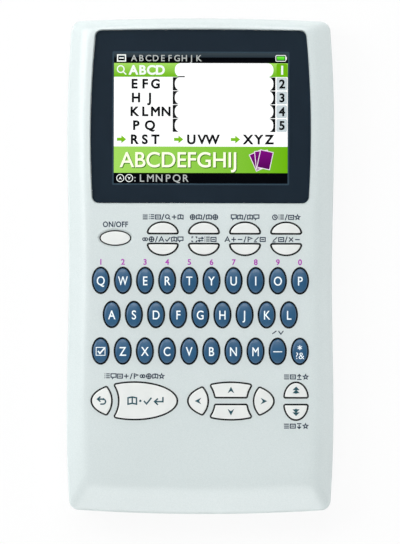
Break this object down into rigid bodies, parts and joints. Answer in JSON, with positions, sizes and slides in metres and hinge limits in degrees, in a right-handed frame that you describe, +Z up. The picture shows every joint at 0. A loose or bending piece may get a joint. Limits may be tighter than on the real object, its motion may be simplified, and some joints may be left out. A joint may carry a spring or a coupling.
{
  "type": "electronic dictionary",
  "caption": "Slab-shaped pocket electronic dictionary with a colour display in a dark bowed window, an oval letter keyboard, a cursor pad and a sliding battery cover.",
  "frame": {"origin": "on the resting surface, under the middle of the slab, which lies on its back", "axes": "+X to the right of the face, +Y from the keys towards the display end, +Z up out of the face"},
  "size_m": [0.078, 0.145, 0.0179],
  "materials": {
    "pearl_shell": "satin pearl-white moulded plastic",
    "clear_window": "clear glossy acrylic over a dark navy printed border",
    "panel_glass": "flat glass",
    "light_guide": "white frosted plastic",
    "ribbon_film": "amber polyimide film",
    "circuit_board": "green solder mask",
    "chip_package": "black moulded packages",
    "membrane_rubber": "matt silicone rubber",
    "blue_keys": "satin slate-blue moulded plastic",
    "white_keys": "satin pearl-white moulded plastic",
    "cell_can": "printed metal sleeve with bright ends",
    "contact_metal": "nickel-plated spring steel",
    "screw_steel": "zinc-plated steel",
    "foot_rubber": "matt rubber"
  },
  "bodies": {
    "casing": {"front_case": "pearl_shell", "rear_case": "pearl_shell", "display_window": "clear_window", "lcd_panel": "panel_glass", "backlight_unit": "light_guide", "display_ribbon": "ribbon_film", "main_board": "circuit_board", "board_components": "chip_package", "key_membrane": "membrane_rubber", "battery_cells": "cell_can", "battery_contacts": "contact_metal", "case_screws": "screw_steel", "rubber_feet": "foot_rubber"},
    "battery_cover": {"battery_cover": "pearl_shell"},
    "back_key": {"back_key": "white_keys"},
    "down_key": {"down_key": "white_keys"},
    "enter_key": {"enter_key": "white_keys"},
    "function_key_1": {"function_key_1": "white_keys"},
    "function_key_2": {"function_key_2": "white_keys"},
    "function_key_3": {"function_key_3": "white_keys"},
    "function_key_4": {"function_key_4": "white_keys"},
    "function_key_5": {"function_key_5": "white_keys"},
    "function_key_6": {"function_key_6": "white_keys"},
    "function_key_7": {"function_key_7": "white_keys"},
    "function_key_8": {"function_key_8": "white_keys"},
    "key_a": {"key_a": "blue_keys"},
    "key_b": {"key_b": "blue_keys"},
    "key_c": {"key_c": "blue_keys"},
    "key_check": {"key_check": "blue_keys"},
    "key_d": {"key_d": "blue_keys"},
    "key_dash": {"key_dash": "blue_keys"},
    "key_e": {"key_e": "blue_keys"},
    "key_f": {"key_f": "blue_keys"},
    "key_g": {"key_g": "blue_keys"},
    "key_h": {"key_h": "blue_keys"},
    "key_i": {"key_i": "blue_keys"},
    "key_j": {"key_j": "blue_keys"},
    "key_k": {"key_k": "blue_keys"},
    "key_l": {"key_l": "blue_keys"},
    "key_m": {"key_m": "blue_keys"},
    "key_n": {"key_n": "blue_keys"},
    "key_o": {"key_o": "blue_keys"},
    "key_p": {"key_p": "blue_keys"},
    "key_q": {"key_q": "blue_keys"},
    "key_r": {"key_r": "blue_keys"},
    "key_s": {"key_s": "blue_keys"},
    "key_star": {"key_star": "blue_keys"},
    "key_t": {"key_t": "blue_keys"},
    "key_u": {"key_u": "blue_keys"},
    "key_v": {"key_v": "blue_keys"},
    "key_w": {"key_w": "blue_keys"},
    "key_x": {"key_x": "blue_keys"},
    "key_y": {"key_y": "blue_keys"},
    "key_z": {"key_z": "blue_keys"},
    "left_key": {"left_key": "white_keys"},
    "page_down_key": {"page_down_key": "white_keys"},
    "page_up_key": {"page_up_key": "white_keys"},
    "power_key": {"power_key": "white_keys"},
    "right_key": {"right_key": "white_keys"},
    "up_key": {"up_key": "white_keys"}
  },
  "joints": [
    {"name": "battery_cover_slide", "type": "slide", "parent": "casing", "child": "battery_cover", "axis": [0, -1, 0], "range_m": [0, 0.029]},
    {"name": "back_key_press", "type": "slide", "parent": "casing", "child": "back_key", "axis": [0, 0, -1], "range_m": [0, 0.0007], "stiffness_N_per_m": 800, "springref_m": -0.0003, "deforming": ["key_membrane"]},
    {"name": "down_key_press", "type": "slide", "parent": "casing", "child": "down_key", "axis": [0, 0, -1], "range_m": [0, 0.0007], "stiffness_N_per_m": 800, "springref_m": -0.0003, "deforming": ["key_membrane"]},
    {"name": "enter_key_press", "type": "slide", "parent": "casing", "child": "enter_key", "axis": [0, 0, -1], "range_m": [0, 0.0007], "stiffness_N_per_m": 800, "springref_m": -0.0003, "deforming": ["key_membrane"]},
    {"name": "function_key_1_press", "type": "slide", "parent": "casing", "child": "function_key_1", "axis": [0, 0, -1], "range_m": [0, 0.0007], "stiffness_N_per_m": 800, "springref_m": -0.0003, "deforming": ["key_membrane"]},
    {"name": "function_key_2_press", "type": "slide", "parent": "casing", "child": "function_key_2", "axis": [0, 0, -1], "range_m": [0, 0.0007], "stiffness_N_per_m": 800, "springref_m": -0.0003, "deforming": ["key_membrane"]},
    {"name": "function_key_3_press", "type": "slide", "parent": "casing", "child": "function_key_3", "axis": [0, 0, -1], "range_m": [0, 0.0007], "stiffness_N_per_m": 800, "springref_m": -0.0003, "deforming": ["key_membrane"]},
    {"name": "function_key_4_press", "type": "slide", "parent": "casing", "child": "function_key_4", "axis": [0, 0, -1], "range_m": [0, 0.0007], "stiffness_N_per_m": 800, "springref_m": -0.0003, "deforming": ["key_membrane"]},
    {"name": "function_key_5_press", "type": "slide", "parent": "casing", "child": "function_key_5", "axis": [0, 0, -1], "range_m": [0, 0.0007], "stiffness_N_per_m": 800, "springref_m": -0.0003, "deforming": ["key_membrane"]},
    {"name": "function_key_6_press", "type": "slide", "parent": "casing", "child": "function_key_6", "axis": [0, 0, -1], "range_m": [0, 0.0007], "stiffness_N_per_m": 800, "springref_m": -0.0003, "deforming": ["key_membrane"]},
    {"name": "function_key_7_press", "type": "slide", "parent": "casing", "child": "function_key_7", "axis": [0, 0, -1], "range_m": [0, 0.0007], "stiffness_N_per_m": 800, "springref_m": -0.0003, "deforming": ["key_membrane"]},
    {"name": "function_key_8_press", "type": "slide", "parent": "casing", "child": "function_key_8", "axis": [0, 0, -1], "range_m": [0, 0.0007], "stiffness_N_per_m": 800, "springref_m": -0.0003, "deforming": ["key_membrane"]},
    {"name": "key_a_press", "type": "slide", "parent": "casing", "child": "key_a", "axis": [0, 0, -1], "range_m": [0, 0.0007], "stiffness_N_per_m": 800, "springref_m": -0.0003, "deforming": ["key_membrane"]},
    {"name": "key_b_press", "type": "slide", "parent": "casing", "child": "key_b", "axis": [0, 0, -1], "range_m": [0, 0.0007], "stiffness_N_per_m": 800, "springref_m": -0.0003, "deforming": ["key_membrane"]},
    {"name": "key_c_press", "type": "slide", "parent": "casing", "child": "key_c", "axis": [0, 0, -1], "range_m": [0, 0.0007], "stiffness_N_per_m": 800, "springref_m": -0.0003, "deforming": ["key_membrane"]},
    {"name": "key_check_press", "type": "slide", "parent": "casing", "child": "key_check", "axis": [0, 0, -1], "range_m": [0, 0.0007], "stiffness_N_per_m": 800, "springref_m": -0.0003, "deforming": ["key_membrane"]},
    {"name": "key_d_press", "type": "slide", "parent": "casing", "child": "key_d", "axis": [0, 0, -1], "range_m": [0, 0.0007], "stiffness_N_per_m": 800, "springref_m": -0.0003, "deforming": ["key_membrane"]},
    {"name": "key_dash_press", "type": "slide", "parent": "casing", "child": "key_dash", "axis": [0, 0, -1], "range_m": [0, 0.0007], "stiffness_N_per_m": 800, "springref_m": -0.0003, "deforming": ["key_membrane"]},
    {"name": "key_e_press", "type": "slide", "parent": "casing", "child": "key_e", "axis": [0, 0, -1], "range_m": [0, 0.0007], "stiffness_N_per_m": 800, "springref_m": -0.0003, "deforming": ["key_membrane"]},
    {"name": "key_f_press", "type": "slide", "parent": "casing", "child": "key_f", "axis": [0, 0, -1], "range_m": [0, 0.0007], "stiffness_N_per_m": 800, "springref_m": -0.0003, "deforming": ["key_membrane"]},
    {"name": "key_g_press", "type": "slide", "parent": "casing", "child": "key_g", "axis": [0, 0, -1], "range_m": [0, 0.0007], "stiffness_N_per_m": 800, "springref_m": -0.0003, "deforming": ["key_membrane"]},
    {"name": "key_h_press", "type": "slide", "parent": "casing", "child": "key_h", "axis": [0, 0, -1], "range_m": [0, 0.0007], "stiffness_N_per_m": 800, "springref_m": -0.0003, "deforming": ["key_membrane"]},
    {"name": "key_i_press", "type": "slide", "parent": "casing", "child": "key_i", "axis": [0, 0, -1], "range_m": [0, 0.0007], "stiffness_N_per_m": 800, "springref_m": -0.0003, "deforming": ["key_membrane"]},
    {"name": "key_j_press", "type": "slide", "parent": "casing", "child": "key_j", "axis": [0, 0, -1], "range_m": [0, 0.0007], "stiffness_N_per_m": 800, "springref_m": -0.0003, "deforming": ["key_membrane"]},
    {"name": "key_k_press", "type": "slide", "parent": "casing", "child": "key_k", "axis": [0, 0, -1], "range_m": [0, 0.0007], "stiffness_N_per_m": 800, "springref_m": -0.0003, "deforming": ["key_membrane"]},
    {"name": "key_l_press", "type": "slide", "parent": "casing", "child": "key_l", "axis": [0, 0, -1], "range_m": [0, 0.0007], "stiffness_N_per_m": 800, "springref_m": -0.0003, "deforming": ["key_membrane"]},
    {"name": "key_m_press", "type": "slide", "parent": "casing", "child": "key_m", "axis": [0, 0, -1], "range_m": [0, 0.0007], "stiffness_N_per_m": 800, "springref_m": -0.0003, "deforming": ["key_membrane"]},
    {"name": "key_n_press", "type": "slide", "parent": "casing", "child": "key_n", "axis": [0, 0, -1], "range_m": [0, 0.0007], "stiffness_N_per_m": 800, "springref_m": -0.0003, "deforming": ["key_membrane"]},
    {"name": "key_o_press", "type": "slide", "parent": "casing", "child": "key_o", "axis": [0, 0, -1], "range_m": [0, 0.0007], "stiffness_N_per_m": 800, "springref_m": -0.0003, "deforming": ["key_membrane"]},
    {"name": "key_p_press", "type": "slide", "parent": "casing", "child": "key_p", "axis": [0, 0, -1], "range_m": [0, 0.0007], "stiffness_N_per_m": 800, "springref_m": -0.0003, "deforming": ["key_membrane"]},
    {"name": "key_q_press", "type": "slide", "parent": "casing", "child": "key_q", "axis": [0, 0, -1], "range_m": [0, 0.0007], "stiffness_N_per_m": 800, "springref_m": -0.0003, "deforming": ["key_membrane"]},
    {"name": "key_r_press", "type": "slide", "parent": "casing", "child": "key_r", "axis": [0, 0, -1], "range_m": [0, 0.0007], "stiffness_N_per_m": 800, "springref_m": -0.0003, "deforming": ["key_membrane"]},
    {"name": "key_s_press", "type": "slide", "parent": "casing", "child": "key_s", "axis": [0, 0, -1], "range_m": [0, 0.0007], "stiffness_N_per_m": 800, "springref_m": -0.0003, "deforming": ["key_membrane"]},
    {"name": "key_star_press", "type": "slide", "parent": "casing", "child": "key_star", "axis": [0, 0, -1], "range_m": [0, 0.0007], "stiffness_N_per_m": 800, "springref_m": -0.0003, "deforming": ["key_membrane"]},
    {"name": "key_t_press", "type": "slide", "parent": "casing", "child": "key_t", "axis": [0, 0, -1], "range_m": [0, 0.0007], "stiffness_N_per_m": 800, "springref_m": -0.0003, "deforming": ["key_membrane"]},
    {"name": "key_u_press", "type": "slide", "parent": "casing", "child": "key_u", "axis": [0, 0, -1], "range_m": [0, 0.0007], "stiffness_N_per_m": 800, "springref_m": -0.0003, "deforming": ["key_membrane"]},
    {"name": "key_v_press", "type": "slide", "parent": "casing", "child": "key_v", "axis": [0, 0, -1], "range_m": [0, 0.0007], "stiffness_N_per_m": 800, "springref_m": -0.0003, "deforming": ["key_membrane"]},
    {"name": "key_w_press", "type": "slide", "parent": "casing", "child": "key_w", "axis": [0, 0, -1], "range_m": [0, 0.0007], "stiffness_N_per_m": 800, "springref_m": -0.0003, "deforming": ["key_membrane"]},
    {"name": "key_x_press", "type": "slide", "parent": "casing", "child": "key_x", "axis": [0, 0, -1], "range_m": [0, 0.0007], "stiffness_N_per_m": 800, "springref_m": -0.0003, "deforming": ["key_membrane"]},
    {"name": "key_y_press", "type": "slide", "parent": "casing", "child": "key_y", "axis": [0, 0, -1], "range_m": [0, 0.0007], "stiffness_N_per_m": 800, "springref_m": -0.0003, "deforming": ["key_membrane"]},
    {"name": "key_z_press", "type": "slide", "parent": "casing", "child": "key_z", "axis": [0, 0, -1], "range_m": [0, 0.0007], "stiffness_N_per_m": 800, "springref_m": -0.0003, "deforming": ["key_membrane"]},
    {"name": "left_key_press", "type": "slide", "parent": "casing", "child": "left_key", "axis": [0, 0, -1], "range_m": [0, 0.0007], "stiffness_N_per_m": 800, "springref_m": -0.0003, "deforming": ["key_membrane"]},
    {"name": "page_down_key_press", "type": "slide", "parent": "casing", "child": "page_down_key", "axis": [0, 0, -1], "range_m": [0, 0.0007], "stiffness_N_per_m": 800, "springref_m": -0.0003, "deforming": ["key_membrane"]},
    {"name": "page_up_key_press", "type": "slide", "parent": "casing", "child": "page_up_key", "axis": [0, 0, -1], "range_m": [0, 0.0007], "stiffness_N_per_m": 800, "springref_m": -0.0003, "deforming": ["key_membrane"]},
    {"name": "power_key_press", "type": "slide", "parent": "casing", "child": "power_key", "axis": [0, 0, -1], "range_m": [0, 0.0007], "stiffness_N_per_m": 800, "springref_m": -0.0003, "deforming": ["key_membrane"]},
    {"name": "right_key_press", "type": "slide", "parent": "casing", "child": "right_key", "axis": [0, 0, -1], "range_m": [0, 0.0007], "stiffness_N_per_m": 800, "springref_m": -0.0003, "deforming": ["key_membrane"]},
    {"name": "up_key_press", "type": "slide", "parent": "casing", "child": "up_key", "axis": [0, 0, -1], "range_m": [0, 0.0007], "stiffness_N_per_m": 800, "springref_m": -0.0003, "deforming": ["key_membrane"]}
  ]
}
